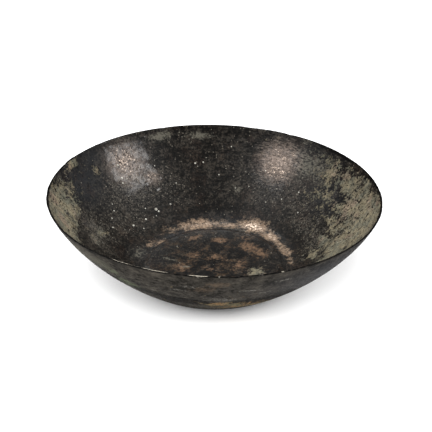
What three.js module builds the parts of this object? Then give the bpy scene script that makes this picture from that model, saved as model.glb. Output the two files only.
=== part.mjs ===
// Shallow bronze bowl with flaring walls, a flat foot ring and a floor pushed up inside that ring.
// One raised and turned piece of metal, so it is one solid. Millimetres, +Z up.
// The origin is on the surface that the bowl stands on, below the middle of its rim.
import * as THREE from "three";
import { mergeVertices } from "three/addons/utils/BufferGeometryUtils.js";

// Driving dimensions, in millimetres
const rimRadius = 85; // outer radius of the mouth
const rimHeight = 43.5; // mean height of the lip's outer edge above the table
const footRadius = 41.7; // outer radius of the flat ring that the bowl stands on
const footRingWidth = 4.5; // radial width of that ring
const footCornerRadius = 4; // outer corner between the foot ring and the wall
const wallAtFoot = 1.5; // thickness of the metal low on the wall
const wallAtRim = 0.9; // thickness of the metal just below the lip
const floorThickness = 1.5; // thickness of the metal under the floor
const floorRise = 1.1; // how far the middle of the floor is pushed up
const floorStepWidth = 3.5; // radial width of the slope round the pushed-up floor
const filletReach = 5; // how far the inner fillet runs in over the floor
const filletClimb = 6; // how far the inner fillet runs up the wall, from the foot corner

// Sweep of the wall: its slope where it leaves the foot and where it meets the lip
const wallSlopeAtFoot = THREE.MathUtils.degToRad(35);
const wallSlopeAtRim = THREE.MathUtils.degToRad(65);
const lowWallPull = 16; // length of straight-running wall above the foot
const highWallPull = 19.3; // length of straight-running wall below the lip

// Unevenness of hand work: the lip stands higher on the -X side, and the mouth is slightly oval
const rimLean = 2;
const rimLeanDirection = THREE.MathUtils.degToRad(190);
const ovalExcess = 0.25;
const ovalDirection = THREE.MathUtils.degToRad(35);

// How finely the curves are divided
const segmentsAround = 72;
const wallSteps = 13;
const cornerSteps = 4;
const filletSteps = 5;
const stepSteps = 4;
const lipSteps = 4;

const point = (radius, height) => new THREE.Vector2(radius, height);
const unit = (angle) => point(Math.cos(angle), Math.sin(angle));

// The outer line of the wall, as a curve from the top of the foot corner to the lip
function outerWall() {
  const cornerCentre = point(footRadius, footCornerRadius);
  const start = cornerCentre
    .clone()
    .addScaledVector(unit(wallSlopeAtFoot - Math.PI / 2), footCornerRadius);
  const end = point(rimRadius, rimHeight);
  return new THREE.CubicBezierCurve(
    start,
    start.clone().addScaledVector(unit(wallSlopeAtFoot), lowWallPull),
    end.clone().addScaledVector(unit(wallSlopeAtRim), -highWallPull),
    end,
  );
}

// A point of the inner wall: the outer line moved inwards by the thickness there
function innerWallPoint(wall, share) {
  const tangent = wall.getTangent(share);
  const inward = point(-tangent.y, tangent.x);
  const thickness = THREE.MathUtils.lerp(wallAtFoot, wallAtRim, share);
  return wall.getPoint(share).addScaledVector(inward, thickness);
}

// The smooth slope between the foot ring and the pushed-up floor, listed from the ring inwards
function floorSlope(baseHeight) {
  const outer = footRadius - footRingWidth;
  return Array.from({ length: stepSteps + 1 }, (_, i) => {
    const share = i / stepSteps;
    const rise = floorRise * (0.5 - 0.5 * Math.cos(Math.PI * share));
    return point(outer - floorStepWidth * share, baseHeight + rise);
  });
}

function underside() {
  const corner = [];
  for (let i = 0; i < cornerSteps; i += 1) {
    const turn = (wallSlopeAtFoot * i) / cornerSteps - Math.PI / 2;
    corner.push(point(footRadius, footCornerRadius).addScaledVector(unit(turn), footCornerRadius));
  }
  return [point(0, floorRise), ...floorSlope(0).reverse(), ...corner];
}

// The lip is a half round between the outer and inner lines of the wall
function lip(wall) {
  const outer = wall.getPoint(1);
  const inner = innerWallPoint(wall, 1);
  const middle = outer.clone().lerp(inner, 0.5);
  const halfWidth = outer.distanceTo(inner) / 2;
  const start = outer.clone().sub(middle).angle();
  return Array.from({ length: lipSteps - 1 }, (_, i) => {
    const turn = start + (Math.PI * (i + 1)) / lipSteps;
    return middle.clone().addScaledVector(unit(turn), halfWidth);
  });
}

// The inside, from the lip down the wall, round the fillet and across the floor
function inside(wall) {
  const lowestShare = filletClimb / wall.getLength();
  const points = [];
  for (let i = 0; i < wallSteps; i += 1) {
    points.push(innerWallPoint(wall, THREE.MathUtils.lerp(1, lowestShare, i / wallSteps)));
  }
  const wallEnd = innerWallPoint(wall, lowestShare);
  const slope = wall.getTangent(lowestShare);
  const crease = point(
    wallEnd.x - ((wallEnd.y - floorThickness) * slope.x) / slope.y,
    floorThickness,
  );
  const floorEnd = point(crease.x - filletReach, floorThickness);
  const fillet = new THREE.QuadraticBezierCurve(wallEnd, crease, floorEnd);
  points.push(...fillet.getPoints(filletSteps));
  points.push(...floorSlope(floorThickness));
  points.push(point(0, floorThickness + floorRise));
  return points;
}

// The closed half section of the bowl, from the axis under the floor round to the axis above it
function section() {
  const wall = outerWall();
  const outside = wall.getPoints(wallSteps);
  return [...underside(), ...outside, ...lip(wall), ...inside(wall)];
}

// Moves the turned shape's points as the uneven mouth does, and leaves the foot ring flat
function handRaise(geometry) {
  const places = geometry.getAttribute("position");
  const place = new THREE.Vector3();
  for (let i = 0; i < places.count; i += 1) {
    place.fromBufferAttribute(places, i);
    const angle = Math.atan2(place.y, place.x);
    const heightShare = place.z / rimHeight;
    const spread = ovalExcess * Math.cos(2 * (angle - ovalDirection)) * heightShare;
    const grow = 1 + spread / rimRadius;
    const lift = rimLean * Math.cos(angle - rimLeanDirection) * heightShare;
    places.setXYZ(i, place.x * grow, place.y * grow, place.z + lift);
  }
}

function bowlGeometry() {
  const turned = new THREE.LatheGeometry(section(), segmentsAround);
  turned.rotateX(Math.PI / 2); // the lathe turns about Y, and the bowl stands along Z
  turned.deleteAttribute("normal");
  turned.deleteAttribute("uv");
  const geometry = mergeVertices(turned);
  handRaise(geometry);
  geometry.computeVertexNormals();
  return geometry;
}

const bronze = new THREE.MeshStandardMaterial({
  name: "dark_bronze",
  color: new THREE.Color(0.17, 0.15, 0.13),
  metalness: 0.75,
  roughness: 0.5,
});

const bowl = new THREE.Mesh(bowlGeometry(), bronze);
bowl.name = "bowl";

const bronzeBowl = new THREE.Group();
bronzeBowl.add(bowl);

export default bronzeBowl;
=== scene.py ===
import math

import bpy
import numpy as np
from mathutils import Matrix, Vector


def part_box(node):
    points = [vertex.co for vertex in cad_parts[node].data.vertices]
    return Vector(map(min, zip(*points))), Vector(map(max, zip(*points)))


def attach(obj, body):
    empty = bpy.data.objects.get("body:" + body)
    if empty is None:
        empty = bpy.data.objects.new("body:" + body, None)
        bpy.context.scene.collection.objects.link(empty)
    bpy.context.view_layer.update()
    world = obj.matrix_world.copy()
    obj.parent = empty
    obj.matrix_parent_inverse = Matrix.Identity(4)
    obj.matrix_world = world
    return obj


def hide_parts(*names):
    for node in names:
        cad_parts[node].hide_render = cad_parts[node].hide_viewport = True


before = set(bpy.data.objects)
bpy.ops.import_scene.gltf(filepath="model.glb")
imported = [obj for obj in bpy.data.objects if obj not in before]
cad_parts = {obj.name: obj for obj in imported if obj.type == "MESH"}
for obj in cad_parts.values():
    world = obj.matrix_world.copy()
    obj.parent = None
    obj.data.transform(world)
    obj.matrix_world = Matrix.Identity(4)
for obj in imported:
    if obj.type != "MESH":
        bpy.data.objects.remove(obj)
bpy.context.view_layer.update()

MM = 0.001

# Sizes of the worked metal. The mouth comes from the frame, and the rest repeats the solid's own sizes.
bowl_low, bowl_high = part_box("bowl")
mouth_radius = (bowl_high.x - bowl_low.x + bowl_high.y - bowl_low.y) / 4
lip_height = 43.5 * MM
foot_radius = 41.7 * MM
foot_ring_width = 4.5 * MM
foot_corner_radius = 4 * MM
wall_at_foot = 1.5 * MM
wall_at_lip = 0.9 * MM
floor_thickness = 1.5 * MM
floor_rise = 1.1 * MM
floor_step_width = 3.5 * MM
fillet_reach = 5 * MM
fillet_climb = 6 * MM
wall_slope_at_foot = math.radians(35)
wall_slope_at_lip = math.radians(65)
low_wall_pull = 16 * MM
high_wall_pull = 19.3 * MM
lip_lean = 2 * MM
lip_lean_direction = math.radians(190)
oval_excess = 0.25 * MM
oval_direction = math.radians(35)

# How finely the metal's surface is divided, and how near each other its points are joined
steps_around = 480
floor_steps = 28
floor_slope_steps = 6
foot_ring_steps = 4
corner_steps = 6
outer_wall_steps = 56
inner_wall_steps = 66
lip_steps = 10
fillet_steps = 9
under_steps = 12
weld_distance = 0.002 * MM

# Stretches of the section, as they follow each other from under the floor round to the inside
UNDERSIDE, OUTSIDE, LIP, INSIDE = range(4)


def unit(angle):
    return Vector((math.cos(angle), math.sin(angle)))


def bezier(points, share):
    """A point of the curve that these control points pull."""
    points = [Vector(p) for p in points]
    while len(points) > 1:
        points = [a.lerp(b, share) for a, b in zip(points, points[1:])]
    return points[0]


def outer_wall(share):
    """A point of the wall's outer line and the line's direction there. The share runs from foot to lip."""
    corner = Vector((foot_radius, foot_corner_radius))
    start = corner + unit(wall_slope_at_foot - math.pi / 2) * foot_corner_radius
    end = Vector((mouth_radius, lip_height))
    pulls = [
        start,
        start + unit(wall_slope_at_foot) * low_wall_pull,
        end - unit(wall_slope_at_lip) * high_wall_pull,
        end,
    ]
    ahead = [b - a for a, b in zip(pulls, pulls[1:])]
    return bezier(pulls, share), bezier(ahead, share).normalized()


def inner_wall(share):
    """A point of the wall's inner line: the outer line moved in by the metal's thickness there."""
    place, ahead = outer_wall(share)
    thickness = wall_at_foot + (wall_at_lip - wall_at_foot) * share
    return place + Vector((-ahead.y, ahead.x)) * thickness


def floor_slope(base):
    """The slope from the foot ring in to the pushed-up floor."""
    outer = foot_radius - foot_ring_width
    for i in range(floor_slope_steps + 1):
        share = i / floor_slope_steps
        rise = floor_rise * (0.5 - 0.5 * math.cos(math.pi * share))
        yield Vector((outer - floor_step_width * share, base + rise))


def section():
    """The half section as points (radius, height), each with the stretch that begins there."""
    points = []

    def add(stretch, places):
        points.extend((Vector(p), stretch) for p in places)

    slope = list(floor_slope(0))[::-1]
    add(UNDERSIDE, (Vector((slope[0].x * i / under_steps, floor_rise)) for i in range(under_steps)))
    add(UNDERSIDE, slope)
    ring_inner = foot_radius - foot_ring_width
    ring = (ring_inner + foot_ring_width * i / foot_ring_steps for i in range(1, foot_ring_steps))
    add(UNDERSIDE, ((radius, 0) for radius in ring))
    corner = Vector((foot_radius, foot_corner_radius))
    for i in range(corner_steps):
        turn = wall_slope_at_foot * i / corner_steps - math.pi / 2
        add(OUTSIDE, [corner + unit(turn) * foot_corner_radius])
    add(OUTSIDE, (outer_wall(i / outer_wall_steps)[0] for i in range(outer_wall_steps)))
    outer, inner = outer_wall(1)[0], inner_wall(1)
    middle = (outer + inner) / 2
    half_width = (outer - inner).length / 2
    start = math.atan2(outer.y - middle.y, outer.x - middle.x)
    add(LIP, (middle + unit(start + math.pi * i / lip_steps) * half_width for i in range(lip_steps)))
    lowest = fillet_climb / outer_wall_length()
    shares = (1 + (lowest - 1) * i / inner_wall_steps for i in range(inner_wall_steps))
    add(INSIDE, (inner_wall(share) for share in shares))
    wall_end, ahead = inner_wall(lowest), outer_wall(lowest)[1]
    crease = Vector((wall_end.x - (wall_end.y - floor_thickness) * ahead.x / ahead.y, floor_thickness))
    fillet = [wall_end, crease, crease - Vector((fillet_reach, 0))]
    add(INSIDE, (bezier(fillet, i / fillet_steps) for i in range(fillet_steps + 1)))
    inner_slope = list(floor_slope(floor_thickness))
    add(INSIDE, inner_slope)
    edge, top = inner_slope[-1].x, floor_thickness + floor_rise
    add(INSIDE, (Vector((edge * (1 - i / floor_steps), top)) for i in range(1, floor_steps + 1)))
    return points


def outer_wall_length():
    places = [outer_wall(i / outer_wall_steps)[0] for i in range(outer_wall_steps + 1)]
    return sum((b - a).length for a, b in zip(places, places[1:]))


# Node trees are built with these few calls. A value is a number, or the output of another node.


def rgb(red, green, blue):
    return (red, green, blue, 1.0)


def feed(tree, socket, value):
    """Gives an input a fixed value, or links it to the output of another node."""
    if isinstance(value, bpy.types.NodeSocket):
        tree.links.new(value, socket)
    else:
        socket.default_value = value


def put(tree, kind, sockets=None, **options):
    """Adds a node, sets its options, and gives its inputs values or links."""
    node = tree.nodes.new(kind)
    for name, value in options.items():
        setattr(node, name, value)
    for key, value in (sockets or {}).items():
        feed(tree, node.inputs[key], value)
    return node


def calc(tree, operation, first, second=0.0, third=0.0):
    return put(tree, "ShaderNodeMath", {0: first, 1: second, 2: third}, operation=operation).outputs[0]


def plus(tree, first, second):
    return calc(tree, "ADD", first, second)


def minus(tree, first, second):
    return calc(tree, "SUBTRACT", first, second)


def times(tree, first, *others):
    for other in others:
        first = calc(tree, "MULTIPLY", first, other)
    return first


def vector_calc(tree, operation, first, second=(0, 0, 0), scale=1.0):
    node = put(tree, "ShaderNodeVectorMath", {0: first, 1: second, 3: scale}, operation=operation)
    return node.outputs["Value" if operation == "LENGTH" else "Vector"]


def vector(tree, x=0.0, y=0.0, z=0.0):
    return put(tree, "ShaderNodeCombineXYZ", {"X": x, "Y": y, "Z": z}).outputs[0]


def ramp(tree, value, low, high, to_low=0.0, to_high=1.0):
    """Runs smoothly from to_low to to_high while the value runs from low to high."""
    sockets = {"Value": value, "From Min": low, "From Max": high, "To Min": to_low, "To Max": to_high}
    return put(tree, "ShaderNodeMapRange", sockets, interpolation_type="SMOOTHSTEP").outputs[0]


def noise(tree, place, scale, detail=3.0, roughness=0.55, distortion=0.0):
    sockets = {"Scale": scale, "Detail": detail, "Roughness": roughness, "Distortion": distortion}
    return put(tree, "ShaderNodeTexNoise", {"Vector": place, **sockets}).outputs[0]


def colour_mix(tree, share, first, second, blend="MIX"):
    """Mixes two colours, each the output of a node or a red, a green and a blue."""
    first, second = (c if isinstance(c, bpy.types.NodeSocket) else rgb(*c) for c in (first, second))
    sockets = {0: share, 6: first, 7: second}
    return put(tree, "ShaderNodeMix", sockets, data_type="RGBA", blend_type=blend).outputs[2]


def named(tree, name, kind="FLOAT"):
    return put(tree, "GeometryNodeInputNamedAttribute", {"Name": name}, data_type=kind).outputs["Attribute"]


def of_stretch(tree, stretch):
    """Chooses the faces of one stretch of the section."""
    sockets = {2: named(tree, "stretch", "INT"), 3: stretch}
    return put(tree, "FunctionNodeCompare", sockets, data_type="INT", operation="EQUAL").outputs[0]


def new_tree(name, kind, inputs, outputs):
    """A node tree with named sockets, with what it is given and what it has to make."""
    tree = bpy.data.node_groups.new(name, kind)
    for in_out, sockets in (("INPUT", inputs), ("OUTPUT", outputs)):
        for label, (socket_kind, value) in sockets.items():
            socket = tree.interface.new_socket(label, in_out=in_out, socket_type="NodeSocket" + socket_kind)
            if value is not None:
                socket.default_value = value
    return tree, tree.nodes.new("NodeGroupInput").outputs, tree.nodes.new("NodeGroupOutput").inputs


# What a tree that makes a mesh puts out, and one that makes a mask
MESH_OUT = {"Geometry": ("Geometry", None)}
MASK_OUT = {"Mask": ("Float", None)}


def run_tree(piece, tree, values):
    """Gives the piece the mesh that the tree makes of it, as a plain mesh with no modifier."""
    modifier = piece.modifiers.new(tree.name, "NODES")
    modifier.node_group = tree
    for item in tree.interface.items_tree:
        if item.in_out == "INPUT" and item.name in values:
            modifier[item.identifier] = values[item.name]
    evaluated = piece.evaluated_get(bpy.context.evaluated_depsgraph_get())
    mesh = bpy.data.meshes.new_from_object(evaluated)
    piece.modifiers.remove(modifier)
    mesh.name = piece.name
    piece.data = mesh
    return piece


def new_piece(name, mesh=None):
    piece = bpy.data.objects.new(name, mesh or bpy.data.meshes.new(name))
    bpy.context.scene.collection.objects.link(piece)
    return piece


def section_line():
    """The half section as loose points, with the stretch that each begins kept on them."""
    places = section()
    mesh = bpy.data.meshes.new("section")
    mesh.from_pydata([(p.x, 0, p.y) for p, _ in places], [], [])
    mesh.attributes.new("stretch", "INT", "POINT").data.foreach_set("value", [s for _, s in places])
    line = new_piece("section", mesh)
    line.hide_render = True
    return line


def turning_tree():
    """Turns a half section about +Z, then leans and stretches the mouth as the solid's does."""
    inputs = {
        "Geometry": ("Geometry", None),
        "Section": ("Object", None),
        "Steps Around": ("Int", 96),
        "Lip Height": ("Float", 0.04),
        "Lean": ("Float", 0.0),
        "Lean Direction": ("Float", 0.0),
        "Oval": ("Float", 0.0),
        "Oval Direction": ("Float", 0.0),
        "Metal": ("Material", None),
    }
    tree, given, made = new_tree("turned vessel", "GeometryNodeTree", inputs, MESH_OUT)
    line = put(tree, "GeometryNodeObjectInfo", {"Object": given["Section"]}).outputs["Geometry"]
    count = put(tree, "GeometryNodeAttributeDomainSize", {0: line}).outputs["Point Count"]
    steps = given["Steps Around"]
    sockets = {"Vertices X": plus(tree, steps, 1.0), "Vertices Y": count}
    grid = put(tree, "GeometryNodeMeshGrid", sockets).outputs["Mesh"]

    def on_section(value, row, kind):
        """Reads a value at this row's point of the section."""
        sockets = {"Geometry": line, "Value": value, "Index": row}
        return put(tree, "GeometryNodeSampleIndex", sockets, data_type=kind).outputs["Value"]

    index = tree.nodes.new("GeometryNodeInputIndex").outputs[0]
    row = calc(tree, "MODULO", index, count)
    column = calc(tree, "FLOOR", calc(tree, "DIVIDE", plus(tree, index, 0.5), count))
    angle = times(tree, calc(tree, "DIVIDE", column, steps), 2 * math.pi)
    section_place = tree.nodes.new("GeometryNodeInputPosition").outputs[0]
    place = put(tree, "ShaderNodeSeparateXYZ", {0: on_section(section_place, row, "FLOAT_VECTOR")})
    radius, height = place.outputs["X"], place.outputs["Z"]
    height_share = calc(tree, "DIVIDE", height, given["Lip Height"])

    def swing(direction, turns):
        """The cosine of the angle from a direction, and none of it at the foot."""
        off = times(tree, minus(tree, angle, direction), turns)
        return times(tree, calc(tree, "COSINE", off), height_share)

    spread = times(tree, swing(given["Oval Direction"], 2), given["Oval"])
    grow = plus(tree, calc(tree, "DIVIDE", spread, mouth_radius), 1.0)
    lift = times(tree, swing(given["Lean Direction"], 1), given["Lean"])
    reach = times(tree, radius, grow)
    turned = vector(
        tree,
        times(tree, reach, calc(tree, "COSINE", angle)),
        times(tree, reach, calc(tree, "SINE", angle)),
        plus(tree, height, lift),
    )
    shaped = put(tree, "GeometryNodeSetPosition", {"Geometry": grid, "Position": turned}).outputs[0]
    face_row = calc(tree, "MODULO", index, minus(tree, count, 1.0))
    stretch = on_section(named(tree, "stretch", "INT"), face_row, "INT")
    sockets = {"Geometry": shaped, "Name": "stretch", "Value": stretch}
    kept = put(tree, "GeometryNodeStoreNamedAttribute", sockets, data_type="INT", domain="FACE").outputs[0]
    sockets = {"Geometry": kept, "Distance": weld_distance}
    closed = put(tree, "GeometryNodeMergeByDistance", sockets).outputs[0]
    whole = put(tree, "GeometryNodeRealizeInstances", {"Geometry": closed}).outputs[0]
    metal = {"Geometry": whole, "Material": given["Metal"]}
    tree.links.new(put(tree, "GeometryNodeSetMaterial", metal).outputs[0], made[0])
    return tree


def turned_bowl(metal):
    values = {
        "Section": section_line(),
        "Steps Around": steps_around,
        "Lip Height": lip_height,
        "Lean": lip_lean,
        "Lean Direction": lip_lean_direction,
        "Oval": oval_excess,
        "Oval Direction": oval_direction,
        "Metal": metal,
    }
    return run_tree(new_piece("bronze_bowl"), turning_tree(), values)


# Marks on the metal: most are what time left on it, and some are painted highlights, glints and sheen. Each
# is (angle, radius, half width, half height, tilt, strength): the angle in degrees from +X towards +Y and
# the radius in mm say where its middle is, half width is measured round the bowl and half height along the
# wall or floor, in mm, and tilt turns it in degrees.
INSIDE_MARKS = {
    # Olive-tan mineral crust on the two side walls
    "crust": [
        (187, 79, 24, 11, 0, 1.1),
        (177, 76, 11, 7, -10, 0.95),
        (197, 76, 13, 8.5, 10, 0.9),
        (163, 82.5, 6, 3, 0, 0.5),
        (156.5, 83.5, 4, 2.5, 0, 1.1),
        (147, 78, 2.5, 2.5, 0, 0.5),
        (173, 60.5, 5, 2.2, 40, 0.48),
        (184, 62.5, 6, 2, 0, 0.46),
        (352, 76, 25, 16, 0, 1.12),
        (348, 64, 15, 11, 0, 1.05),
        (338, 58, 9, 9, 0, 1.0),
        (10, 76, 15, 15, 0, 0.88),
        (22, 78, 12, 10, 0, 0.75),
        (33, 77, 12, 10, 20, 0.6),
        (40, 82, 8, 3, 0, 0.42),
        (8, 62, 13, 10, 0, 0.62),
        (30, 68, 12, 8, 0, 0.42),
        (30, 70, 9, 5, 0, 0.68),
        (22, 69, 8, 4, 0, 0.62),
        (14, 64, 12, 6, 0, 0.66),
        (4, 58, 9, 5, 0, 0.75),
        (358, 52, 8, 4, 0, 0.6),
        (1, 46.5, 6, 3.5, 0, 0.45),
        (331, 24.5, 5.2, 3.4, 0, 0.9),
    ],
    # Bare copper-coloured metal on the ring round the floor; where the marks are strongest, brighter copper
    # is a painted highlight of the ring
    "copper": [
        (102, 41.9, 15, 4.2, 0, 1.05),
        (80, 41.0, 12, 2.8, 0, 0.85),
        (60, 43.6, 10, 5.0, 0, 1.25),
        (42, 41.0, 7, 3.2, 0, 1.25),
        (31, 39.8, 6, 2.6, 0, 0.9),
        (19, 39.8, 8, 3.0, 0, 1.0),
        (6, 40.4, 9, 2.6, 0, 0.7),
        (124, 42.5, 9, 3.6, 0, 0.6),
        (144, 37.2, 5, 2.4, 0, 0.85),
        (151, 40.0, 6, 2.6, 0, 0.85),
    ],
    # Orange-brown patches on the floor
    "rust": [
        (113, 27.6, 4.5, 2.6, 0, 1.00),
        (84, 22.5, 5, 3, 0, 1.05),
        (40, 23.7, 6, 5, 0, 0.95),
        (22, 25.7, 6, 4.5, 0, 0.95),
        (76, 4.6, 9, 3, 0, 0.80),
        (251, 8.4, 4, 2, 0, 0.80),
        (343, 13.2, 7, 3, 0, 0.85),
        (57, 30, 5, 3, 0, 0.70),
        (150, 12, 6, 4, 0, 0.70),
        (200, 18, 7, 5, 0, 0.80),
        (290, 22, 8, 5, 0, 0.75),
    ],
    # Thin pale film
    "film": [
        (112, 82, 7, 2.4, 0, 1.2),
        (96, 81.4, 6, 2, 0, 1.1),
        (46, 77, 15, 9, 0, 0.85),
        (38, 80, 8, 5, 0, 0.6),
        (52, 84, 5, 2, 0, 0.6),
        # The next mark, a pale line just inside the copper ring, is a painted highlight
        (68, 38.6, 10, 0.8, 0, 0.85),
        (82, 60, 14, 10, 0, 0.3),
        (78, 60.5, 4, 2.5, 0, 0.7),
        (167, 42, 7, 3.5, 0, 0.7),
        (175, 24, 1.0, 5, 25, 0.85),
        (201, 16, 0.9, 3, 20, 1.0),
        (174, 60.5, 5, 3.5, 0, 0.75),
        (183, 62, 4.5, 3.5, 0, 0.95),
        (166, 44, 5, 4, 0, 0.5),
        (150, 47, 12, 8, 0, 0.25),
        (165, 28, 12, 8, 0, 0.35),
    ],
    # Cooler, blue-grey metal
    "cool": [
        (166, 41, 8, 6, 0, 0.5),
        (163, 31, 7, 5, 0, 0.5),
        (177, 30, 5, 8, 30, 0.4),
        (158, 77, 14, 12, 0, 0.85),
        (148, 82, 12, 6, 0, 0.6),
        (46, 80, 16, 12, 0, 0.25),
        (30, 70, 14, 10, 0, 0.6),
        (88, 46, 18, 3, 0, 0.5),
        (120, 37.5, 22, 1.6, 0, 0.8),
        (70, 38.2, 16, 1.6, 0, 0.6),
        (40, 38.2, 14, 1.6, 0, 0.5),
    ],
    # Rubbed metal that shows through the patina, made lighter where the softboxes are mirrored on the
    # walls: rubbed bronze and painted highlight
    "burnish": [
        (131, 76, 17, 17, 0, 0.82),
        (121, 68.5, 8, 7, 0, 0.75),
        (61, 75, 15.5, 15, 0, 0.95),
    ],
    # Metal whose surface is left uneven
    "uneven": [
        (61, 70, 13, 7, 0, 1.0),
    ],
    # Painted glints: points of bright copper-coloured metal where the highlights sparkle, on the walls and
    # on the ring
    "glint": [
        (60, 71, 11, 7, 0, 0.66),
        (62, 77, 12, 10, 0, 0.45),
        (131, 77, 12, 13, 0, 0.68),
        (121, 68.5, 6, 5, 0, 0.65),
        (60, 44.0, 8, 4.2, 0, 0.88),
        (42, 41.0, 5, 2.6, 0, 0.65),
    ],
    # Metal that has lost its gloss
    "dull": [
        (60, 76, 30, 22, 0, 1.0),
        (139.5, 68, 6, 5, 0, 0.8),
        (132, 76, 20, 26, 0, 0.36),
        (121, 68.5, 8, 7, 0, 0.36),
        (85, 41.6, 60, 4, 0, 1.0),
        (15, 40.6, 40, 3.4, 0, 1.0),
        (20, 72, 20, 30, 0, 1.0),
        (0, 0.1, 10, 36, 0, 0.7),
        (110, 36.5, 30, 3, 0, 0.6),
        (170, 36.5, 10, 3, 0, 0.5),
    ],
    # Metal brushed round the bowl
    "brushed": [
        (62, 76, 26, 18, 0, 1.0),
        (84, 77, 18, 12, 0, 0.7),
    ],
    # Near-black metal: a band just under the lip on the upper right, a line just inside the copper ring,
    # and patches in the right crust
    "black": [
        (36, 84.4, 24, 1.2, 0, 0.85),
        (10, 84.5, 12, 0.9, 0, 0.7),
        (22, 73, 4, 2.5, 0, 0.3),
        (14, 60.5, 7, 2.4, 0, 0.3),
        (88, 37.0, 24, 1.3, 0, 0.75),
        (35, 36.8, 20, 1.3, 0, 0.75),
    ],
    # Places where fine sand has stuck
    "sandy": [
        (140, 66, 22, 12, 0, 0.9),
        (150, 56, 16, 10, 0, 0.8),
        (174, 63, 14, 10, 0, 1.2),
        (6, 53, 12, 7, 0, 1.2),
        (40, 62, 20, 10, 0, 0.8),
        (24, 55, 14, 7, 0, 1.3),
        (120, 60, 16, 8, 0, 0.5),
    ],
    # Brown earth that has stained the floor
    "earth": [
        (0, 0.1, 10, 34, 0, 1.15),
    ],
}
OUTSIDE_MARKS = {
    # Brown earth low on the wall
    "crust": [
        (273, 63, 9, 4, 0, 0.9),
        (279, 61, 11, 5, 0, 0.8),
        (287, 55, 16, 5, 0, 0.8),
        (60, 60, 20, 10, 0, 0.45),
        (130, 70, 14, 8, 0, 0.4),
    ],
    # Green bloom
    "green": [
        (235, 72, 6, 5, 0, 1.3),
        (233, 79, 6, 4, 0, 0.7),
        (100, 60, 30, 12, 0, 0.6),
    ],
    # Olive-grey bloom
    "olive": [
        (228, 81, 12, 7, 0, 0.9),
        (216, 80, 16, 12, 0, 0.9),
        (20, 70, 30, 12, 0, 0.5),
        (150, 66, 24, 12, 0, 0.5),
    ],
    # Brown stains
    "brown": [
        (266, 79, 7, 4, 0, 0.7),
        (271, 82, 7, 3, 0, 0.8),
        (279, 72, 10, 5, 0, 0.5),
        (0, 76, 14, 6, 0, 0.5),
    ],
    # Short pale streaks
    "film": [
        (273, 70, 10, 4, 0, 0.6),
        (262, 80.3, 7, 1.3, 0, 0.6),
        (258, 77.5, 6, 1.2, 0, 0.65),
        (282, 77.7, 6, 0.9, 0, 0.75),
        (293, 81.2, 6, 0.9, 0, 0.75),
        (288, 74.7, 6, 0.9, 0, 0.65),
    ],
    # Near-black low on the wall, near the table, and under the lip
    "sooty": [
        (257, 65.5, 12, 6, 0, 1.4),
        (243, 69, 18, 5, 0, 0.9),
        (228, 72, 16, 5, 0, 0.8),
        (246, 82, 22, 4, 0, 0.5),
        (296, 64, 24, 9, 0, 1.0),
        (292, 82, 24, 4, 0, 0.45),
        (40, 60, 20, 8, 0, 0.6),
    ],
    # Painted sheen: a blue-grey tint on the front right of the outer wall, where it would mirror the white
    # table
    "cool": [
        (313, 76.5, 24, 12, 0, 1.0),
        (330, 76, 24, 14, 0, 0.9),
    ],
}
# Stretches where the lip is rubbed bright, as (angle, half width, strength)
LIP_MARKS = [
    (240, 5.5, 1.1),
    (251, 6, 1.25),
    (265, 4, 1.5),
    (274, 6, 0.4),
    (284, 1.5, 0.6),
    (291, 3, 0.4),
]
# Where the rubbed line lies on the lip, inwards from the edge of the mouth, and how wide it is, in mm
RUBBED_LINE_INSET = 0.4
RUBBED_LINE_WIDTH = 0.28
# How fast a mark fades: a half width away from its middle, exp(-MARK_FADE) of its strength is left
MARK_FADE = 0.7


def turned_from(angle, degrees):
    """How far each angle lies from a direction in degrees, in radians to either side."""
    return (angle - math.radians(degrees) + math.pi) % (2 * math.pi) - math.pi


def inner_points(mesh):
    """Says of every point whether it lies on the inside or the lip."""
    stretch = np.empty(len(mesh.polygons), int)
    mesh.attributes["stretch"].data.foreach_get("value", stretch)
    corners = np.empty(len(mesh.loops), int)
    mesh.loops.foreach_get("vertex_index", corners)
    sides = np.repeat(stretch, [p.loop_total for p in mesh.polygons])
    inside = np.zeros(len(mesh.vertices), bool)
    inside[corners[np.isin(sides, (INSIDE, LIP))]] = True
    return inside


def section_way(stretches):
    """The radii of these stretches of the section, and how far along the metal each lies, in mm."""
    line = np.array([p[:] for p, s in section() if s in stretches]) / MM
    line = line[np.argsort(line[:, 0])]
    steps = np.hypot(*np.diff(line, axis=0).T)
    return line[:, 0], np.concatenate(([0], np.cumsum(steps)))


def mark_strengths(marks, angle, radius, radii, way):
    """The strength of the strongest mark at every point."""
    field = np.zeros(len(angle))
    along = np.interp(radius, radii, way)
    for at, mark_radius, half_width, half_height, tilt, strength in marks:
        across = turned_from(angle, at) * mark_radius
        up = along - np.interp(mark_radius, radii, way)
        turn = math.radians(tilt)
        x = (across * math.cos(turn) + up * math.sin(turn)) / half_width
        y = (up * math.cos(turn) - across * math.sin(turn)) / half_height
        field = np.maximum(field, strength * np.exp(-MARK_FADE * (x * x + y * y)))
    return field


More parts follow.
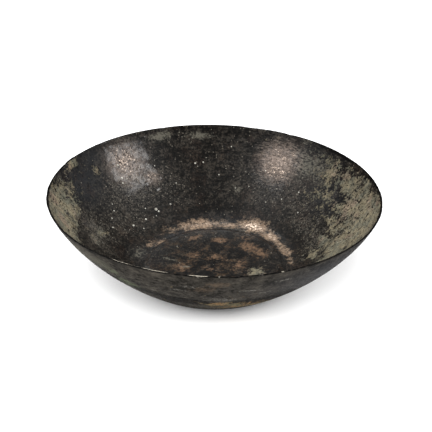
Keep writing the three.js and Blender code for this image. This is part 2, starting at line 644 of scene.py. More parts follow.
def paint_marks(piece):
    """Keeps each kind of mark on the mesh as a number, from 0 away from the marks to a mark's strength."""
    mesh = piece.data
    places = np.empty(len(mesh.vertices) * 3)
    mesh.vertices.foreach_get("co", places)
    places = places.reshape(-1, 3) / MM
    angle = np.arctan2(places[:, 1], places[:, 0])
    radius = np.hypot(places[:, 0], places[:, 1])
    inside = inner_points(mesh)
    for kinds, chosen, stretches in (
        (INSIDE_MARKS, inside, (INSIDE,)),
        (OUTSIDE_MARKS, ~inside, (UNDERSIDE, OUTSIDE)),
    ):
        radii, way = section_way(stretches)
        for kind, marks in kinds.items():
            field = mark_strengths(marks, angle, radius, radii, way)
            attribute = mesh.attributes.get(kind) or mesh.attributes.new(kind, "FLOAT", "POINT")
            kept = np.empty(len(places), np.float32)
            attribute.data.foreach_get("value", kept)
            kept[chosen] = field[chosen]
            attribute.data.foreach_set("value", kept)
    painted_glint_spots = np.zeros(len(places), np.float32)
    top_line = np.exp(-((radius - mouth_radius / MM + RUBBED_LINE_INSET) / RUBBED_LINE_WIDTH) ** 2)
    for at, half_width, strength in LIP_MARKS:
        off = turned_from(angle, at) * radius / half_width
        painted_glint_spots = np.maximum(painted_glint_spots, strength * top_line * np.exp(-MARK_FADE * off**2))
    mesh.attributes.new("worn_edge", "FLOAT", "POINT").data.foreach_set("value", painted_glint_spots)


def weathering_tree():
    """Gives the turned metal its hand-worked unevenness, raised crust, pits and a nicked lip."""
    inputs = {
        "Geometry": ("Geometry", None),
        "Dent Size": ("Float", 0.03),
        "Dent Depth": ("Float", 0.0001),
        "Crust Thickness": ("Float", 0.0002),
        "Crust Grain": ("Float", 0.003),
        "Pit Depth": ("Float", 0.0001),
        "Nick Depth": ("Float", 0.0004),
        "Lip Height": ("Float", 0.04),
        "Inside": ("Material", None),
        "Outside": ("Material", None),
        "Lip": ("Material", None),
        "Underside": ("Material", None),
    }
    tree, given, made = new_tree("weathered metal", "GeometryNodeTree", inputs, MESH_OUT)
    place = tree.nodes.new("GeometryNodeInputPosition").outputs[0]
    normal = tree.nodes.new("GeometryNodeInputNormal").outputs[0]
    parts = put(tree, "ShaderNodeSeparateXYZ", {0: place}).outputs
    height_share = calc(tree, "DIVIDE", parts["Z"], given["Lip Height"])
    clear_of_foot = ramp(tree, height_share, 0.06, 0.3)

    # Dents move both faces of the metal together, in the horizontal direction away from the axis
    outwards = vector_calc(tree, "NORMALIZE", vector(tree, parts["X"], parts["Y"], 0.0))
    dent_scale = calc(tree, "DIVIDE", 1.0, given["Dent Size"])
    uneven = minus(tree, noise(tree, place, dent_scale, detail=1.5), 0.5)
    dent = times(tree, uneven, given["Dent Depth"], clear_of_foot)
    dent_move = vector_calc(tree, "SCALE", outwards, scale=dent)

    # Crust stands proud of the metal, broken up by its own grain
    crust = named(tree, "crust")
    grain_scale = calc(tree, "DIVIDE", 1.0, given["Crust Grain"])
    swing = times(tree, minus(tree, noise(tree, place, grain_scale, detail=3.0, roughness=0.6), 0.5), 1.1)
    raised = times(tree, ramp(tree, plus(tree, crust, swing), 0.42, 0.62), given["Crust Thickness"])

    # Pits sit mostly where there is crust, and a few elsewhere
    pit_scale = calc(tree, "DIVIDE", 0.7, given["Crust Grain"])
    holes = noise(tree, place, pit_scale, detail=2.0, roughness=0.5)
    needed = calc(tree, "MULTIPLY_ADD", crust, -0.06, 0.68)
    sunk = times(tree, ramp(tree, minus(tree, holes, needed), 0.0, 0.05), given["Pit Depth"])
    proud = times(tree, minus(tree, raised, sunk), clear_of_foot)
    grain_move = vector_calc(tree, "SCALE", normal, scale=proud)

    # Nicks wear the lip down in short stretches
    nicked = ramp(tree, noise(tree, place, 90.0, detail=3.0, roughness=0.65), 0.55, 0.68)
    near_lip = ramp(tree, height_share, 0.9, 1.0)
    drop = times(tree, nicked, near_lip, given["Nick Depth"])
    nick_move = vector(tree, 0.0, 0.0, times(tree, drop, -1.0))

    moved = vector_calc(tree, "ADD", vector_calc(tree, "ADD", dent_move, grain_move), nick_move)
    sockets = {"Geometry": given["Geometry"], "Offset": moved}
    shaped = put(tree, "GeometryNodeSetPosition", sockets).outputs[0]
    smooth = put(tree, "GeometryNodeSetShadeSmooth", {"Geometry": shaped, "Shade Smooth": True}).outputs[0]
    whole = put(tree, "GeometryNodeRealizeInstances", {"Geometry": smooth}).outputs[0]
    for stretch, slot in ((UNDERSIDE, "Underside"), (OUTSIDE, "Outside"), (LIP, "Lip"), (INSIDE, "Inside")):
        sockets = {"Geometry": whole, "Selection": of_stretch(tree, stretch), "Material": given[slot]}
        whole = put(tree, "GeometryNodeSetMaterial", sockets).outputs[0]
    tree.links.new(whole, made[0])
    return tree


def weather(piece, finishes):
    values = {
        "Dent Size": 30 * MM,
        "Dent Depth": 0.5 * MM,
        "Crust Thickness": 0.22 * MM,
        "Crust Grain": 3.2 * MM,
        "Pit Depth": 0.16 * MM,
        "Nick Depth": 0.3 * MM,
        "Lip Height": lip_height,
        **finishes,
    }
    return run_tree(piece, weathering_tree(), values)


# The smallest of the small grains, as a share of the largest
SMALLEST_GRAIN = 0.45

# Single grains of pale mineral that stand out on the dark wall, as (angle, radius, half width), in degrees
# and mm
SINGLE_GRAINS = [
    (99, 71.5, 0.55),
    (95.3, 71.8, 0.55),
    (98, 70.2, 0.3),
    (127, 54.5, 1.0),
    (126, 53.2, 0.6),
    (117, 55.0, 0.6),
    (137, 52.0, 0.6),
    (148, 52.3, 0.65),
    (143, 48.8, 0.45),
    (133, 56.5, 0.4),
    (129, 51.6, 0.35),
    (135, 76.4, 0.7),
    (137, 69.7, 0.6),
    (136, 71.6, 0.7),
    (134, 70.6, 0.5),
    (152, 62.0, 0.5),
    (150, 64.5, 0.4),
    (157, 60.3, 0.45),
    (110, 64.0, 0.4),
    (88, 66.5, 0.45),
    (79, 61.0, 0.4),
    (72, 62.5, 0.35),
    (66, 70.5, 0.45),
    (60, 57.0, 0.5),
    (52, 60.5, 0.4),
    (45, 66.0, 0.45),
    (38, 58.0, 0.5),
    (118, 72.5, 0.35),
    (83, 78.0, 0.4),
    (162, 57.5, 0.5),
]


def grain_places():
    """One loose point above each single grain's place, with its size."""
    above = 2 * lip_height
    places = []
    for at, radius, _ in SINGLE_GRAINS:
        turn = math.radians(at)
        places.append((MM * radius * math.cos(turn), MM * radius * math.sin(turn), above))
    mesh = bpy.data.meshes.new("single grains")
    mesh.from_pydata(places, [], [])
    sizes = [MM * half_width for _, _, half_width in SINGLE_GRAINS]
    mesh.attributes.new("grain_size", "FLOAT", "POINT").data.foreach_set("value", sizes)
    return new_piece("mineral_grains", mesh)


def grains_tree():
    """Grains of mineral stuck to the inside: single ones, dropped onto the metal, and many small ones."""
    inputs = {
        "Geometry": ("Geometry", None),
        "Metal": ("Object", None),
        "Density": ("Float", 20000.0),
        "Crust Density": ("Float", 60000.0),
        "Small Size": ("Float", 0.0003),
        "Flatness": ("Float", 0.5),
        "Seed": ("Int", 3),
        "Single Finish": ("Material", None),
        "Small Finish": ("Material", None),
    }
    tree, given, made = new_tree("mineral grains", "GeometryNodeTree", inputs, MESH_OUT)
    metal = put(tree, "GeometryNodeObjectInfo", {"Object": given["Metal"]}).outputs["Geometry"]
    grain = put(tree, "GeometryNodeMeshIcoSphere", {"Radius": 1.0, "Subdivisions": 1}).outputs[0]
    flat = vector(tree, 1.0, 1.0, given["Flatness"])

    # The single grains fall straight down onto the metal
    place = tree.nodes.new("GeometryNodeInputPosition").outputs[0]
    landing = put(tree, "GeometryNodeRaycast", {
        "Target Geometry": metal,
        "Source Position": place,
        "Ray Direction": (0.0, 0.0, -1.0),
        "Ray Length": 1.0,
    }).outputs
    facing = put(tree, "FunctionNodeAlignRotationToVector", {"Vector": landing["Hit Normal"]}, axis="Z")
    settled = put(tree, "GeometryNodeStoreNamedAttribute", {
        "Geometry": given["Geometry"],
        "Name": "facing",
        "Value": facing.outputs[0],
    }, data_type="QUATERNION", domain="POINT").outputs[0]
    dropped = put(tree, "GeometryNodeSetPosition", {
        "Geometry": settled,
        "Position": landing["Hit Position"],
    }).outputs[0]
    single = put(tree, "GeometryNodeInstanceOnPoints", {
        "Points": dropped,
        "Instance": grain,
        "Rotation": named(tree, "facing", "QUATERNION"),
        "Scale": vector_calc(tree, "SCALE", flat, scale=named(tree, "grain_size")),
    }).outputs[0]

    # The small grains are strewn over the inside, mostly where there is crust
    crusted = ramp(tree, named(tree, "crust"), 0.15, 0.7)
    strewn = put(tree, "GeometryNodeDistributePointsOnFaces", {
        "Mesh": metal,
        "Selection": of_stretch(tree, INSIDE),
        "Density": calc(tree, "MULTIPLY_ADD", crusted, given["Crust Density"], given["Density"]),
        "Seed": given["Seed"],
    }, distribute_method="RANDOM").outputs
    sockets = {2: SMALLEST_GRAIN, 3: 1.0, 8: given["Seed"]}
    chance = put(tree, "FunctionNodeRandomValue", sockets, data_type="FLOAT").outputs[1]
    small = put(tree, "GeometryNodeInstanceOnPoints", {
        "Points": strewn["Points"],
        "Instance": grain,
        "Rotation": strewn["Rotation"],
        "Scale": vector_calc(tree, "SCALE", flat, scale=times(tree, chance, given["Small Size"])),
    }).outputs[0]
    both = tree.nodes.new("GeometryNodeJoinGeometry")
    for grains, finish in ((single, "Single Finish"), (small, "Small Finish")):
        whole = put(tree, "GeometryNodeRealizeInstances", {"Geometry": grains}).outputs[0]
        sockets = {"Geometry": whole, "Material": given[finish]}
        tree.links.new(put(tree, "GeometryNodeSetMaterial", sockets).outputs[0], both.inputs[0])
    tree.links.new(both.outputs[0], made[0])
    return tree


def mineral_grains(metal, small_finish, single_finish):
    values = {
        "Metal": metal,
        "Density": 9000.0,
        "Crust Density": 50000.0,
        "Small Size": 0.34 * MM,
        "Flatness": 0.45,
        "Seed": 11,
        "Single Finish": single_finish,
        "Small Finish": small_finish,
    }
    return run_tree(grain_places(), grains_tree(), values)


# Shader node groups, each built once and placed in the finishes with values of their own


def use_group(tree, group, sockets):
    """Places a shader group in a tree, and gives its outputs."""
    return put(tree, "ShaderNodeGroup", sockets, node_tree=group).outputs


def patina_group():
    """Old metal's skin: broad clouds of dark and light, broken by a fine grain and by dark pits."""
    inputs = {
        "Place": ("Vector", None),
        "Dark": ("Color", rgb(0.01, 0.009, 0.008)),
        "Middle": ("Color", rgb(0.03, 0.024, 0.02)),
        "Light": ("Color", rgb(0.07, 0.06, 0.05)),
        "Cloud Scale": ("Float", 90.0),
        "Grain Scale": ("Float", 900.0),
        "Cloud Share": ("Float", 1.2),
        "Mottle Share": ("Float", 1.0),
        "Grain Share": ("Float", 1.8),
    }
    outputs = {"Color": ("Color", None), "Grain": ("Float", None), "Pits": ("Float", None)}
    tree, given, made = new_tree("patina", "ShaderNodeTree", inputs, outputs)
    place = given["Place"]
    clouds = noise(tree, place, given["Cloud Scale"], detail=5.0, roughness=0.65, distortion=0.5)
    grain = noise(tree, place, given["Grain Scale"], detail=3.0, roughness=0.7)
    mottle = noise(tree, place, times(tree, given["Grain Scale"], 0.36), detail=2.0, roughness=0.6)
    shade = 0.0
    for pattern, share in ((clouds, "Cloud Share"), (mottle, "Mottle Share"), (grain, "Grain Share")):
        swing = times(tree, minus(tree, pattern, 0.5), given[share])
        shade = plus(tree, swing, shade)
    lower = colour_mix(tree, ramp(tree, shade, -0.22, 0.02), given["Dark"], given["Middle"])
    skin = colour_mix(tree, ramp(tree, shade, 0.02, 0.32), lower, given["Light"])
    hollows = noise(tree, place, times(tree, given["Grain Scale"], 0.62), detail=2.0, roughness=0.6)
    pits = ramp(tree, hollows, 0.36, 0.43, to_low=1.0, to_high=0.0)
    tree.links.new(skin, made["Color"])
    tree.links.new(grain, made["Grain"])
    tree.links.new(pits, made["Pits"])
    return tree


def turning_group():
    """Fine scratches that run round the bowl, as turning and rubbing leave them."""
    inputs = {"Place": ("Vector", None), "Lines": ("Float", 1600.0), "Length": ("Float", 3.0)}
    tree, given, made = new_tree("turning marks", "ShaderNodeTree", inputs, MASK_OUT)
    parts = put(tree, "ShaderNodeSeparateXYZ", {0: given["Place"]})
    flat = vector(tree, parts.outputs["X"], parts.outputs["Y"], 0.0)
    radius = vector_calc(tree, "LENGTH", flat)
    around = vector_calc(tree, "SCALE", vector_calc(tree, "NORMALIZE", flat), scale=given["Length"])
    rise = times(tree, plus(tree, radius, parts.outputs["Z"]), given["Lines"])
    place = vector_calc(tree, "ADD", around, vector(tree, 0.0, 0.0, rise))
    tree.links.new(noise(tree, place, 1.0, detail=3.0, roughness=0.7), made["Mask"])
    return tree


def crust_group():
    """Mineral crust that breaks up at its edges and has dark pits where it fell away."""
    inputs = {
        "Place": ("Vector", None),
        "Reach": ("Float", 0.0),
        "Base": ("Color", rgb(0.02, 0.02, 0.02)),
        "Tan": ("Color", rgb(0.235, 0.2, 0.13)),
        "Green": ("Color", rgb(0.155, 0.15, 0.11)),
        "Pink": ("Color", rgb(0.25, 0.185, 0.135)),
    }
    outputs = {"Color": ("Color", None), "Mask": ("Float", None)}
    tree, given, made = new_tree("mineral crust", "ShaderNodeTree", inputs, outputs)
    place = given["Place"]
    reach = given["Reach"]
    for scale, gain in ((130.0, 0.8), (330.0, 1.2), (1000.0, 1.0)):
        swing = times(tree, minus(tree, noise(tree, place, scale, detail=2.0, roughness=0.6), 0.5), gain)
        reach = plus(tree, reach, swing)
    hollows = noise(tree, place, 300.0, detail=2.0, roughness=0.6, distortion=0.8)
    holes = ramp(tree, calc(tree, "MULTIPLY_ADD", reach, 0.1, hollows), 0.41, 0.47)
    fine_hollows = noise(tree, place, 760.0, detail=2.0, roughness=0.6, distortion=0.5)
    fine_holes = ramp(tree, fine_hollows, 0.37, 0.43)
    mask = times(tree, ramp(tree, reach, 0.34, 0.54), times(tree, holes, fine_holes))
    greener = ramp(tree, noise(tree, place, 170.0, detail=4.0, roughness=0.7), 0.38, 0.6)
    tint = colour_mix(tree, greener, given["Green"], given["Tan"])
    rosy = ramp(tree, noise(tree, place, 95.0, detail=3.0, roughness=0.6), 0.52, 0.66, to_high=0.7)
    tint = colour_mix(tree, rosy, tint, given["Pink"])
    thick = ramp(tree, reach, 0.4, 1.0, to_low=0.72, to_high=1.08)
    specks = noise(tree, place, 700.0, detail=3.0, roughness=0.75)
    mottle = times(tree, ramp(tree, specks, 0.3, 0.7, to_low=0.6, to_high=1.3), thick)
    shaded = colour_mix(tree, 1.0, tint, vector(tree, mottle, mottle, mottle), "MULTIPLY")
    tree.links.new(colour_mix(tree, mask, given["Base"], shaded), made["Color"])
    tree.links.new(mask, made["Mask"])
    return tree


def broken_mark_group():
    """A mark's reach, broken by grain, so that it ends in specks at its edge: for wear, and also for the
    painted glints and highlights.
    """
    inputs = {
        "Place": ("Vector", None),
        "Reach": ("Float", 0.0),
        "Scale": ("Float", 500.0),
        "Breakup": ("Float", 0.9),
        "Softness": ("Float", 0.25),
    }
    tree, given, made = new_tree("worn places", "ShaderNodeTree", inputs, MASK_OUT)
    grain = minus(tree, noise(tree, given["Place"], given["Scale"], detail=4.0, roughness=0.75), 0.5)
    reach = plus(tree, given["Reach"], times(tree, grain, given["Breakup"]))
    edge = 0.38
    inner_edge = plus(tree, given["Softness"], edge)
    tree.links.new(ramp(tree, reach, edge, inner_edge), made["Mask"])
    return tree


def sand_group():
    """Grains of sand-coloured mineral stuck to the metal, one here and there in each cell of a pattern."""
    inputs = {
        "Place": ("Vector", None),
        "Scale": ("Float", 700.0),
        "Share": ("Float", 0.3),
        "Size": ("Float", 0.3),
    }
    tree, given, made = new_tree("sand grains", "ShaderNodeTree", inputs, MASK_OUT)
    cells = put(tree, "ShaderNodeTexVoronoi", {"Vector": given["Place"], "Scale": given["Scale"]})
    chance = put(tree, "ShaderNodeSeparateColor", {0: cells.outputs["Color"]})
    chosen = calc(tree, "LESS_THAN", chance.outputs[0], given["Share"])
    size = times(tree, given["Size"], plus(tree, chance.outputs[1], 0.4))
    dot = ramp(tree, cells.outputs["Distance"], times(tree, size, 0.6), size, to_low=1.0, to_high=0.0)
    tree.links.new(times(tree, dot, chosen), made["Mask"])
    return tree


PATINA = patina_group()
TURNING = turning_group()
CRUST = crust_group()
BROKEN_MARK = broken_mark_group()
SAND = sand_group()


def finish_material(name, coat_roughness, specular=0.25):
    """A material with its shader and its object coordinates."""
    material = bpy.data.materials.new(name)
    material.use_nodes = True
    tree = material.node_tree
    shader = tree.nodes["Principled BSDF"]
    shader.inputs["Coat Roughness"].default_value = coat_roughness
    shader.inputs["Specular IOR Level"].default_value = specular
    place = tree.nodes.new("ShaderNodeTexCoord").outputs["Object"]
    return material, tree, shader, place


def mark(tree, name):
    return put(tree, "ShaderNodeAttribute", attribute_name=name).outputs["Fac"]


def connect(tree, shader, values, height, relief=0.12 * MM):
    """Gives the shader its values, and a relief as deep as this where the height pattern stands up."""
    for name, value in values.items():
        feed(tree, shader.inputs[name], value)
    bump = put(tree, "ShaderNodeBump", {"Strength": 1.0, "Distance": relief, "Height": height})
    tree.links.new(bump.outputs["Normal"], shader.inputs["Normal"])


def broken_mark(tree, place, reach, scale, breakup, softness):
    sockets = {"Place": place, "Reach": reach, "Scale": scale, "Breakup": breakup, "Softness": softness}
    return use_group(tree, BROKEN_MARK, sockets)["Mask"]


def turning_marks(tree, place, lines, length):
    return use_group(tree, TURNING, {"Place": place, "Lines": lines, "Length": length})["Mask"]


def tint(tree, colour, mask, target, share=1.0):
    """Lays a colour over another where a mask says so."""
    if share != 1.0:
        mask = times(tree, mask, share)
    return colour_mix(tree, mask, colour, target)


def brushed_reach(tree, reach, brushed, gain):
    """A mark's reach, drawn out round the bowl where the metal is brushed."""
    swing = times(tree, minus(tree, brushed, 0.5), mark(tree, "brushed"))
    return calc(tree, "MULTIPLY_ADD", swing, gain, reach)


# Colours of the marks, from the inside to the underside, as linear red, green and blue
streak_grey = (0.085, 0.08, 0.073)
brushed_grey = (0.11, 0.1, 0.088)
cool_grey = (0.034, 0.038, 0.045)
reddish_brown = (0.045, 0.026, 0.018)
sand_grain = (0.18, 0.16, 0.128)
sand_dust = (0.13, 0.118, 0.097)
floor_earth = (0.068, 0.041, 0.022)
deep_black = (0.003, 0.0027, 0.0024)
rust_orange = (0.19, 0.115, 0.068)
pale_film = (0.2, 0.186, 0.146)
rubbed_bronze_highlight = (0.3, 0.235, 0.195)
dark_tarnish = (0.2, 0.13, 0.082)
light_tarnish = (0.38, 0.275, 0.187)
bright_copper_and_glint = (0.68, 0.54, 0.43)
pit_black = (0.004, 0.0035, 0.003)
pale_scratch = (0.09, 0.08, 0.066)
dark_scratch = (0.01, 0.009, 0.0078)
painted_cool_sheen = (0.036, 0.037, 0.041)
rubbed_lip = (0.55, 0.5, 0.41)
rubbed_foot = (0.12, 0.1, 0.075)

# Stains on the outside, in the order in which they lie on each other, as (kind of mark, scale of the grain
# that breaks it up, how far it does so, softness of the edge, colour, how much of the metal it covers)
OUTSIDE_STAINS = (
    ("olive", 300.0, 1.2, 0.6, (0.08, 0.076, 0.058), 0.6),
    ("green", 420.0, 1.6, 0.5, (0.078, 0.088, 0.056), 0.75),
    ("brown", 420.0, 1.6, 0.5, (0.085, 0.061, 0.042), 0.6),
    ("sooty", 300.0, 1.2, 0.5, (0.006, 0.0052, 0.0045), 0.95),
    ("film", 900.0, 2.0, 0.5, (0.2, 0.19, 0.17), 0.5),
)


def inside_colours(tree, place, skin, brushed):
    """The inside's colours below its crust, with two masks: bright ring metal with the painted sparkle
    points, and bared bronze with its painted highlight.
    """
    grain = skin["Grain"]
    turning = turning_marks(tree, place, lines=1500.0, length=4.0)
    patches = ramp(tree, noise(tree, place, 60.0, detail=2.0), 0.4, 0.6)
    streaks = times(tree, ramp(tree, turning, 0.52, 0.7), patches)
    colour = tint(tree, skin["Color"], streaks, streak_grey, share=0.35)
    swept = times(tree, ramp(tree, brushed, 0.52, 0.7), mark(tree, "brushed"))
    colour = tint(tree, colour, swept, brushed_grey, share=0.6)
    colour = tint(tree, colour, mark(tree, "cool"), cool_grey, share=0.65)
    reddish = ramp(tree, noise(tree, place, 75.0, detail=4.0, roughness=0.65), 0.5, 0.62, to_high=0.35)
    reddish = times(tree, reddish, ramp(tree, grain, 0.42, 0.55))
    colour = tint(tree, colour, reddish, reddish_brown)

    strewn = noise(tree, place, 45.0, detail=3.0, roughness=0.6)
    sandy = ramp(tree, strewn, 0.4, 0.62, to_low=0.02, to_high=0.15)
    sandy = calc(tree, "MULTIPLY_ADD", mark(tree, "sandy"), 0.65, sandy)
    sandy = minus(tree, sandy, calc(tree, "MAXIMUM", mark(tree, "earth"), mark(tree, "cool")))
    sand = use_group(tree, SAND, {"Place": place, "Scale": 1150.0, "Share": sandy, "Size": 0.5})["Mask"]
    colour = tint(tree, colour, sand, sand_grain, share=0.7)
    powder = ramp(tree, noise(tree, place, 1100.0, detail=2.0, roughness=0.6), 0.48, 0.62)
    dust = times(tree, powder, mark(tree, "sandy"))
    colour = tint(tree, colour, dust, sand_dust, share=0.5)

    stain = noise(tree, place, 200.0, detail=6.0, roughness=0.85)
    earth = times(tree, mark(tree, "earth"), ramp(tree, stain, 0.52, 0.62, to_high=0.9))
    colour = tint(tree, colour, earth, floor_earth)
    black = times(tree, mark(tree, "earth"), ramp(tree, stain, 0.46, 0.56, to_low=0.95, to_high=0.0))
    blackened = broken_mark(tree, place, mark(tree, "black"), scale=400.0, breakup=1.0, softness=0.4)
    black = calc(tree, "MAXIMUM", black, blackened)
    colour = tint(tree, colour, black, deep_black)
    rust = broken_mark(tree, place, mark(tree, "rust"), scale=520.0, breakup=2.6, softness=0.8)
    colour = tint(tree, colour, rust, rust_orange)

    film = brushed_reach(tree, mark(tree, "film"), brushed, 2.4)
    film = broken_mark(tree, place, film, scale=760.0, breakup=2.8, softness=0.7)
    colour = tint(tree, colour, film, pale_film, share=0.7)
    # Rubbed bronze and painted highlight: a lighter, partly metallic colour where the softboxes' highlights
    # fall
    burnish = brushed_reach(tree, mark(tree, "burnish"), brushed, 1.2)
    burnish = broken_mark(tree, place, burnish, scale=800.0, breakup=0.7, softness=0.7)
    colour = tint(tree, colour, burnish, rubbed_bronze_highlight, share=0.85)
    brown = broken_mark(tree, place, mark(tree, "copper"), scale=330.0, breakup=2.2, softness=0.7)
    tarnish = colour_mix(tree, ramp(tree, grain, 0.4, 0.6), dark_tarnish, light_tarnish)
    colour = tint(tree, colour, brown, tarnish)
    # Brightest copper where the copper mark is strongest: partly bare copper, partly the ring's painted
    # highlight
    bright = minus(tree, mark(tree, "copper"), 0.72)
    bright = broken_mark(tree, place, bright, scale=700.0, breakup=2.6, softness=0.35)
    # Painted glints: bright copper-coloured points where the highlights sparkle
    glint = minus(tree, brushed_reach(tree, mark(tree, "glint"), brushed, 2.0), 0.42)
    painted_glint_spots = broken_mark(tree, place, glint, scale=1000.0, breakup=2.6, softness=0.25)
    copper = calc(tree, "MAXIMUM", bright, painted_glint_spots)
    colour = tint(tree, colour, copper, bright_copper_and_glint)
    pits = times(tree, skin["Pits"], ramp(tree, mark(tree, "brushed"), 0.0, 1.0, to_low=0.7, to_high=0.25))
    colour = tint(tree, colour, pits, pit_black)
    return colour, copper, burnish, turning


def inside_finish():
    material, tree, shader, place = finish_material("dark_patina_inside", coat_roughness=0.08)
    skin = use_group(tree, PATINA, {
        "Place": place,
        "Dark": rgb(0.003, 0.0026, 0.0022),
        "Middle": rgb(0.011, 0.0093, 0.0076),
        "Light": rgb(0.05, 0.042, 0.033),
        "Cloud Scale": 110.0,
        "Grain Scale": 1000.0,
        "Cloud Share": 1.3,
        "Mottle Share": 1.2,
        "Grain Share": 2.0,
    })
    grain, pits = skin["Grain"], skin["Pits"]
    brushed = turning_marks(tree, place, lines=850.0, length=24.0)
    colour, copper, burnish, turning = inside_colours(tree, place, skin, brushed)
    crust = use_group(tree, CRUST, {
        "Place": place,
        "Reach": minus(tree, mark(tree, "crust"), mark(tree, "black")),
        "Base": colour,
    })
    bare = minus(tree, 1.0, crust["Mask"])
    roughness = ramp(tree, grain, 0.35, 0.65, to_low=0.55, to_high=0.32)
    roughness = calc(tree, "MAXIMUM", roughness, times(tree, crust["Mask"], 0.85))
    metallic = calc(tree, "MAXIMUM", times(tree, copper, 0.9), times(tree, burnish, 0.6))
    metallic = times(tree, metallic, bare)
    sheen = ramp(tree, noise(tree, place, 260.0, detail=4.0, roughness=0.75), 0.42, 0.6, to_low=0.12)
    gloss = times(tree, sheen, ramp(tree, pits, 0.0, 1.0, to_low=1.0, to_high=0.55))
    gloss = times(tree, gloss, ramp(tree, mark(tree, "dull"), 0.1, 0.6, to_low=1.0, to_high=0.12))
    coat = times(tree, bare, gloss)

    rough_grain = times(tree, grain, ramp(tree, mark(tree, "brushed"), 0.0, 1.0, to_low=0.6, to_high=0.3))
    height = plus(tree, rough_grain, times(tree, turning, 0.15))
    height = minus(tree, height, times(tree, pits, 0.3))
    combed = times(tree, brushed, mark(tree, "brushed"), 0.9)
    height = plus(tree, height, combed)
    height = times(tree, height, ramp(tree, mark(tree, "uneven"), 0.1, 0.8, to_low=1.0, to_high=1.6))
    height = plus(tree, height, times(tree, crust["Mask"], 1.2))
    values = {
        "Base Color": crust["Color"],
        "Roughness": roughness,
        "Metallic": metallic,
        "Coat Weight": coat,
    }
    connect(tree, shader, values, height)
    return material


def outside_finish():
    made = finish_material("dark_patina_outside", coat_roughness=0.2, specular=0.005)
    material, tree, shader, place = made
    skin = use_group(tree, PATINA, {
        "Place": place,
        "Dark": rgb(0.01, 0.0091, 0.0078),
        "Middle": rgb(0.029, 0.026, 0.022),
        "Light": rgb(0.05, 0.044, 0.036),
        "Cloud Scale": 70.0,
        "Grain Scale": 700.0,
        "Cloud Share": 1.4,
        "Mottle Share": 0.6,
        "Grain Share": 0.8,
    })
    fine = turning_marks(tree, place, lines=700.0, length=15.0)
    broad = turning_marks(tree, place, lines=140.0, length=3.0)
    turning = calc(tree, "MULTIPLY_ADD", minus(tree, broad, 0.5), 0.35, fine)
    colour = tint(tree, skin["Color"], ramp(tree, turning, 0.52, 0.76), pale_scratch, share=0.5)
    scratched = ramp(tree, turning, 0.3, 0.47, to_low=1.0, to_high=0.0)
    colour = tint(tree, colour, scratched, dark_scratch, share=0.75)
    # Painted sheen: blue-grey where the outer wall would mirror the table
    colour = tint(tree, colour, mark(tree, "cool"), painted_cool_sheen, share=0.65)
    for kind, scale, breakup, softness, stain, share in OUTSIDE_STAINS:
        mask = broken_mark(tree, place, mark(tree, kind), scale, breakup, softness)
        colour = tint(tree, colour, mask, stain, share)
    crust = use_group(tree, CRUST, {
        "Place": place,
        "Reach": mark(tree, "crust"),
        "Base": colour,
        "Tan": rgb(0.15, 0.11, 0.062),
        "Green": rgb(0.085, 0.075, 0.048),
        "Pink": rgb(0.17, 0.1, 0.05),
    })
    roughness = ramp(tree, skin["Grain"], 0.35, 0.65, to_low=0.65, to_high=0.42)
    roughness = calc(tree, "MAXIMUM", roughness, times(tree, crust["Mask"], 0.85))
    height = plus(tree, times(tree, skin["Grain"], 0.4), times(tree, fine, 0.4))
    connect(tree, shader, {"Base Color": crust["Color"], "Roughness": roughness}, height)
    return material


def lip_finish():
    material, tree, shader, place = finish_material("worn_lip", coat_roughness=0.2, specular=0.08)
    skin = use_group(tree, PATINA, {
        "Place": place,
        "Dark": rgb(0.002, 0.0018, 0.0016),
        "Middle": rgb(0.005, 0.0043, 0.0036),
        "Light": rgb(0.02, 0.017, 0.014),
        "Cloud Scale": 120.0,
        "Grain Scale": 900.0,
        "Cloud Share": 1.0,
        "Mottle Share": 1.0,
        "Grain Share": 1.2,
    })
    bright = broken_mark(tree, place, mark(tree, "worn_edge"), scale=420.0, breakup=1.9, softness=0.3)
    colour = tint(tree, skin["Color"], bright, rubbed_lip)
    values = {
        "Base Color": colour,
        "Roughness": ramp(tree, bright, 0.0, 1.0, to_low=0.6, to_high=0.4),
        "Metallic": ramp(tree, bright, 0.0, 1.0, to_high=0.6),
    }
    connect(tree, shader, values, skin["Grain"], relief=0.08 * MM)
    return material


def underside_finish():
    material, tree, shader, place = finish_material("rubbed_underside", coat_roughness=0.2)
    skin = use_group(tree, PATINA, {
        "Place": place,
        "Dark": rgb(0.014, 0.012, 0.01),
        "Middle": rgb(0.032, 0.026, 0.02),
        "Light": rgb(0.08, 0.066, 0.05),
        "Cloud Scale": 80.0,
        "Grain Scale": 800.0,
        "Cloud Share": 1.4,
        "Mottle Share": 1.0,
        "Grain Share": 1.2,
    })
    turning = turning_marks(tree, place, lines=900.0, length=3.0)
    colour = tint(tree, skin["Color"], ramp(tree, turning, 0.5, 0.72, to_high=0.5), rubbed_foot)
    roughness = ramp(tree, skin["Grain"], 0.3, 0.7, to_low=0.65, to_high=0.45)
    connect(tree, shader, {"Base Color": colour, "Roughness": roughness}, turning)
    return material


def grain_finish(name, dark, light):
    material, tree, shader, place = finish_material(name, coat_roughness=0.3)
    shade = ramp(tree, noise(tree, place, 500.0, detail=3.0, roughness=0.6), 0.35, 0.65)
    colour = colour_mix(tree, shade, dark, light)
    values = {"Base Color": colour, "Roughness": ramp(tree, shade, 0.0, 1.0, to_low=0.9, to_high=0.7)}
    connect(tree, shader, values, noise(tree, place, 2500.0, detail=3.0, roughness=0.6), relief=0.05 * MM)
    return material


def floor_finish():
    """A white table that gives off a little light of its own."""
    material = bpy.data.materials.new("pale_floor")
    material.use_nodes = True
    shader = material.node_tree.nodes["Principled BSDF"]
    shader.inputs["Base Color"].default_value = rgb(0.9, 0.9, 0.9)
    shader.inputs["Roughness"].default_value = 0.9
    shader.inputs["Specular IOR Level"].default_value = 0.1
    shader.inputs["Emission Color"].default_value = rgb(1, 1, 1)
    shader.inputs["Emission Strength"].default_value = 0.1
    return material


# Half the width of the table that the bowl stands on
table_half_width = 4.0


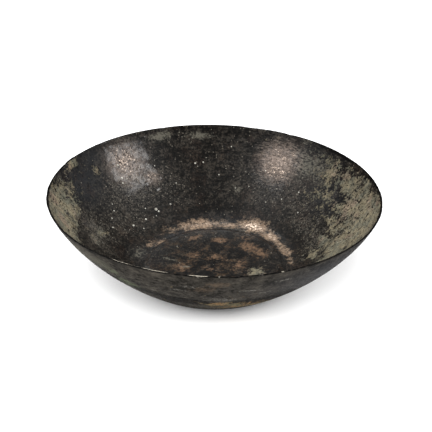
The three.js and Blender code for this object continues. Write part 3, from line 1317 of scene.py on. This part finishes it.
def make_floor():
    half = table_half_width
    corners = [(-half, -half, 0), (half, -half, 0), (half, half, 0), (-half, half, 0)]
    mesh = bpy.data.meshes.new("floor")
    mesh.from_pydata(corners, [], [(0, 1, 2, 3)])
    mesh.materials.append(floor_finish())
    floor = new_piece("floor", mesh)
    return floor


def softbox(name, place, edge, width, height, radiance):
    """A flat soft light of an even radiance that faces the bowl, with its width along an edge direction."""
    light = bpy.data.lights.new(name, "AREA")
    light.shape = "RECTANGLE"
    light.size, light.size_y = width, height
    light.energy = radiance * math.pi * width * height
    lamp = bpy.data.objects.new(name, light)
    bpy.context.scene.collection.objects.link(lamp)
    back = (Vector(place) - Vector((0, 0, lip_height))).normalized()
    up = back.cross(Vector(edge)).normalized()
    turned = Matrix((up.cross(back), up, back)).transposed().to_4x4()
    lamp.matrix_world = Matrix.Translation(place) @ turned
    return lamp


# Softboxes that light the bowl, and those that light the table alone, as (name, place, direction of the
# width, width, height, radiance), in metres
BOWL_SOFTBOXES = (
    ("right_softbox", (0.722, -0.062, 0.592), (0.4, 0.843, -0.358), 0.47, 0.41, 5.0),
    ("left_softbox", (-0.55, -0.22, 0.78), (-0.4, 0.843, -0.358), 0.4, 0.38, 6.2),
    ("back_softbox", (-0.18, 0.62, 1.1), (1, 0, 0), 0.7, 0.45, 5.0),
)
TABLE_SOFTBOXES = (
    ("front_table_softbox", (0, -0.7, 0.72), (1, 0, 0), 0.5, 0.3, 12.5),
    ("left_table_softbox", (-0.76, -0.4, 0.6), (0.47, -0.88, 0), 0.4, 0.3, 12.5),
    ("right_table_softbox", (0.76, -0.4, 0.6), (0.47, 0.88, 0), 0.4, 0.3, 9.5),
)


def make_lights(floor):
    for values in BOWL_SOFTBOXES:
        softbox(*values)
    lit = bpy.data.collections.new("lit_by_table_softboxes")
    lit.objects.link(floor)
    for values in TABLE_SOFTBOXES:
        softbox(*values).light_linking.receiver_collection = lit


def make_world():
    """Even white light from all round, which mirror-like reflections leave out."""
    world = bpy.data.worlds.new("studio")
    bpy.context.scene.world = world
    world.use_nodes = True
    background = world.node_tree.nodes["Background"]
    background.inputs["Color"].default_value = rgb(1, 1, 1)
    background.inputs["Strength"].default_value = 0.8
    world.cycles_visibility.glossy = False


# The camera looks along +Y and down on the bowl, from seven mouth radii away
camera_distance = 7 * mouth_radius
camera_elevation = math.radians(27.11)
aim_place = Vector((0.6 * MM, 0, 29.7 * MM))
photo_width_pixels = 432
focal_length_pixels = 1164.4


def make_camera():
    camera = bpy.data.cameras.new("camera")
    camera.sensor_width = 36
    camera.lens = camera.sensor_width * (focal_length_pixels / photo_width_pixels)
    camera.clip_start, camera.clip_end = 0.01, 20
    seen = bpy.data.objects.new("camera", camera)
    bpy.context.scene.collection.objects.link(seen)
    back = Vector((0, -math.cos(camera_elevation), math.sin(camera_elevation)))
    seen.location = Vector((0, 0, lip_height)) + back * camera_distance
    seen.rotation_mode = "QUATERNION"
    seen.rotation_quaternion = (aim_place - seen.location).to_track_quat("-Z", "Y")
    bpy.context.scene.camera = seen


make_camera()
make_lights(make_floor())
make_world()
bpy.context.scene.view_settings.view_transform = "Standard"
finishes = {
    "Inside": inside_finish(),
    "Outside": outside_finish(),
    "Lip": lip_finish(),
    "Underside": underside_finish(),
}
bowl = turned_bowl(finishes["Outside"])
paint_marks(bowl)
weather(bowl, finishes)
sand_finish = grain_finish("pale_mineral", dark=(0.17, 0.15, 0.11), light=(0.4, 0.38, 0.32))
white_finish = grain_finish("white_mineral", dark=(0.34, 0.32, 0.27), light=(0.72, 0.7, 0.62))
grains = mineral_grains(bowl, sand_finish, white_finish)
for piece in (bowl, grains):
    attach(piece, "root")
    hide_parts("bowl")
